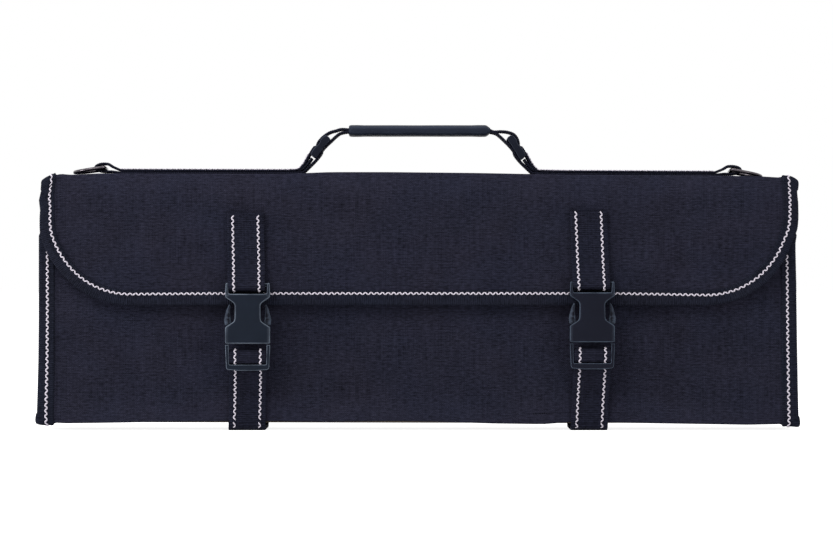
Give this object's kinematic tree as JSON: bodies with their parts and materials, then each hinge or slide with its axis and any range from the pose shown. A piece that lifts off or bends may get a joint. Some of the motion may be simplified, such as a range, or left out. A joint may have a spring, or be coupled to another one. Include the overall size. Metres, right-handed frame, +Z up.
{
  "type": "hard-sided knife case",
  "caption": "Flat cloth-covered hard case for kitchen knives, with a flap lid on side-release buckles, a webbing handle, strap rings and blade sleeves inside.",
  "frame": {"origin": "on the ground, under the middle of the whole", "axes": "+X along the case to its right end seen from the front, +Y from the front to the back, +Z up"},
  "size_m": [0.515, 0.0926, 0.2088],
  "materials": {
    "cloth": "woven polyester",
    "lining": "smooth woven lining",
    "board": "hardboard",
    "tape": "ribbed binding tape",
    "webbing": "woven webbing",
    "plastic": "satin moulded",
    "grip": "soft matt",
    "metal": "nickel plated",
    "elastic": "elastic band"
  },
  "bodies": {
    "tray": {"back_lining": "lining", "back_board": "board", "back_cover": "cloth", "bottom_lining": "lining", "bottom_board": "board", "bottom_cover": "cloth", "end_left_lining": "lining", "end_left_board": "board", "end_left_cover": "cloth", "end_right_lining": "lining", "end_right_board": "board", "end_right_cover": "cloth", "back_tape_left": "tape", "back_tape_right": "tape", "bottom_tape_left": "tape", "bottom_tape_right": "tape", "back_blade_sleeve": "lining", "back_handle_band": "elastic", "strap_base_left": "webbing", "strap_base_right": "webbing"},
    "top_panel": {"top_lining": "lining", "top_board": "board", "top_cover": "cloth", "top_tape_left": "tape", "top_tape_right": "tape", "top_webbing_left": "webbing", "top_webbing_right": "webbing"},
    "flap": {"lid_lining": "lining", "lid_board": "board", "lid_cover": "cloth", "lid_tape": "tape", "upper_strap_left": "webbing", "upper_strap_right": "webbing", "buckle_socket_left": "plastic", "buckle_socket_right": "plastic"},
    "front_panel": {"front_lining": "lining", "front_board": "board", "front_cover": "cloth", "front_tape": "tape", "front_blade_sleeve": "lining", "front_handle_band": "elastic", "lower_strap_left": "webbing", "lower_strap_right": "webbing"},
    "handle": {"handle_slider_left": "plastic", "handle_slider_right": "plastic", "handle_webbing": "webbing", "handle_grip": "grip"},
    "plug_left": {"buckle_plug_left": "plastic"},
    "prong_left_outer": {"release_prong_left_outer": "plastic"},
    "prong_left_inner": {"release_prong_left_inner": "plastic"},
    "ring_left": {"shoulder_ring_left": "metal"},
    "plug_right": {"buckle_plug_right": "plastic"},
    "prong_right_outer": {"release_prong_right_outer": "plastic"},
    "prong_right_inner": {"release_prong_right_inner": "plastic"},
    "ring_right": {"shoulder_ring_right": "metal"}
  },
  "joints": [
    {"name": "top_hinge", "type": "hinge", "parent": "tray", "child": "top_panel", "pos_m": [0, 0.04285, 0.1753], "axis": [-1, 0, 0], "range_deg": [0, 100]},
    {"name": "flap_hinge", "type": "hinge", "parent": "top_panel", "child": "flap", "pos_m": [0, -0.03495, 0.1753], "axis": [-1, 0, 0], "range_deg": [0, 170]},
    {"name": "front_hinge", "type": "hinge", "parent": "tray", "child": "front_panel", "pos_m": [0, -0.02715, 0.0063], "axis": [1, 0, 0], "range_deg": [0, 51], "deforming": ["strap_base_left", "strap_base_right"]},
    {"name": "handle_swing", "type": "hinge", "parent": "top_panel", "child": "handle", "pos_m": [0, 0.00395, 0.1772], "axis": [1, 0, 0], "range_deg": [-25, 25], "stiffness_Nm_per_rad": 0.12, "deforming": ["handle_webbing"]},
    {"name": "plug_left_slide", "type": "slide", "parent": "front_panel", "child": "plug_left", "axis": [0, 0, -1], "range_m": [0, 0.028], "deforming": ["lower_strap_left", "release_prong_left_outer", "release_prong_left_inner"]},
    {"name": "prong_left_outer_squeeze", "type": "hinge", "parent": "plug_left", "child": "prong_left_outer", "pos_m": [-0.12785, -0.04155, 0.063], "axis": [0, 1, 0], "range_deg": [0, 7], "stiffness_Nm_per_rad": 0.3},
    {"name": "prong_left_inner_squeeze", "type": "hinge", "parent": "plug_left", "child": "prong_left_inner", "pos_m": [-0.10515, -0.04155, 0.063], "axis": [0, -1, 0], "range_deg": [0, 7], "stiffness_Nm_per_rad": 0.3},
    {"name": "ring_left_swing", "type": "hinge", "parent": "top_panel", "child": "ring_left", "pos_m": [-0.215, 0.00395, 0.1795], "axis": [0, 1, 0], "range_deg": [0, 150]},
    {"name": "plug_right_slide", "type": "slide", "parent": "front_panel", "child": "plug_right", "axis": [0, 0, -1], "range_m": [0, 0.028], "deforming": ["lower_strap_right", "release_prong_right_outer", "release_prong_right_inner"]},
    {"name": "prong_right_outer_squeeze", "type": "hinge", "parent": "plug_right", "child": "prong_right_outer", "pos_m": [0.12785, -0.04155, 0.063], "axis": [0, -1, 0], "range_deg": [0, 7], "stiffness_Nm_per_rad": 0.3},
    {"name": "prong_right_inner_squeeze", "type": "hinge", "parent": "plug_right", "child": "prong_right_inner", "pos_m": [0.10515, -0.04155, 0.063], "axis": [0, 1, 0], "range_deg": [0, 7], "stiffness_Nm_per_rad": 0.3},
    {"name": "ring_right_swing", "type": "hinge", "parent": "top_panel", "child": "ring_right", "pos_m": [0.215, 0.00395, 0.1795], "axis": [0, -1, 0], "range_deg": [0, 150]}
  ],
  "couplings": [
    {"joint": "front_hinge", "follows": "flap_hinge", "ratio": 0.3},
    {"joint": "prong_left_inner_squeeze", "follows": "prong_left_outer_squeeze", "ratio": 1},
    {"joint": "prong_right_inner_squeeze", "follows": "prong_right_outer_squeeze", "ratio": 1}
  ]
}
